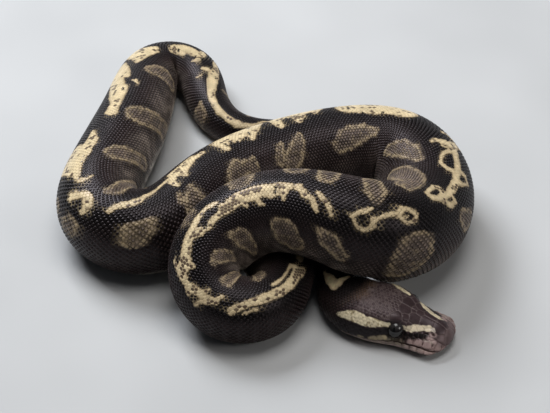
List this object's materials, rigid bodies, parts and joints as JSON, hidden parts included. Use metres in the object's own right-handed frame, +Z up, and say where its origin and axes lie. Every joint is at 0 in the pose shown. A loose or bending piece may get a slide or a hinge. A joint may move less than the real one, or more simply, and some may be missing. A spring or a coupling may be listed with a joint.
{
  "type": "coiled ball python, life-size still figure",
  "caption": "Life-size coiled young ball python lying on its belly, head drawn out low in front of the coils.",
  "frame": {"origin": "middle of the animal's outline, on the floor that it lies on", "axes": "+Z up; +Y away from the side that the head lies on; +X towards the snout"},
  "size_m": [0.1105, 0.121, 0.0334],
  "materials": {
    "body_scales": "smooth overlapping scales, satin, near black brown with cream and tan markings",
    "head_scales": "small plates, satin, purple brown with pale seams",
    "jaw_scales": "satin, pinkish grey lip plates",
    "eye_spectacle": "glossy clear cap over a near black eye"
  },
  "bodies": {
    "root": {"head": "head_scales", "lower_jaw": "jaw_scales", "eye_left": "eye_spectacle", "eye_right": "eye_spectacle", "neck_front": "body_scales", "neck_back": "body_scales", "trunk_01": "body_scales", "trunk_02": "body_scales", "trunk_03": "body_scales", "trunk_04": "body_scales", "trunk_05": "body_scales", "trunk_06": "body_scales", "trunk_07": "body_scales", "trunk_08": "body_scales", "trunk_09": "body_scales", "trunk_10": "body_scales", "trunk_11": "body_scales", "trunk_12": "body_scales", "trunk_13": "body_scales", "trunk_14": "body_scales", "tail_base": "body_scales", "tail_tip": "body_scales"}
  },
  "joints": []
}
